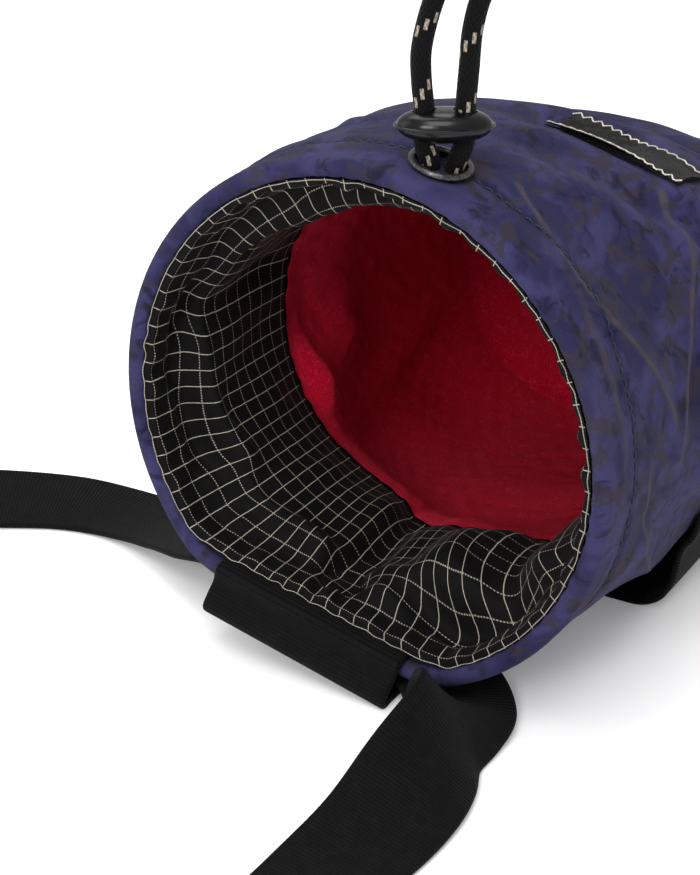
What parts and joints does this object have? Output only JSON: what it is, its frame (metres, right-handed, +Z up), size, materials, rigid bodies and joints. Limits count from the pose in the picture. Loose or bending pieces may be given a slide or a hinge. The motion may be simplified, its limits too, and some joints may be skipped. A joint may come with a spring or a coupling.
{
  "type": "climbing chalk bag",
  "caption": "Drawstring chalk bag on a webbing waist belt: printed fabric tube, puffed ripstop collar, fleece pouch, cord with lock, webbing loops; lying on its back, mouth open.",
  "frame": {"origin": "middle of the flat patch on which the shell rests, on the floor", "axes": "+Y along the bag axis from the mouth to the base, +Z up, mouth towards -Y, +X to the right as seen from the mouth"},
  "size_m": [0.3139, 0.4664, 0.184],
  "materials": {
    "shell_fabric": "matt woven fabric with a mottled indigo print",
    "ripstop": "thin black ripstop with a cream grid",
    "fleece": "short crimson pile",
    "webbing": "ribbed black webbing",
    "cord": "black braid with beige tracers",
    "buckle_plastic": "moulded",
    "lock_plastic": "moulded, glossy",
    "eyelet_metal": "gunmetal",
    "label": "woven black patch with off-white zig-zag edges"
  },
  "bodies": {
    "root": {"shell": "shell_fabric", "base_panel": "shell_fabric", "collar": "ripstop", "liner": "fleece", "belt_loop": "webbing", "belt": "webbing", "buckle": "buckle_plastic", "brush_loop": "webbing", "eyelet": "eyelet_metal", "draw_cord": "cord", "cord_lock": "lock_plastic", "label": "label"}
  },
  "joints": []
}
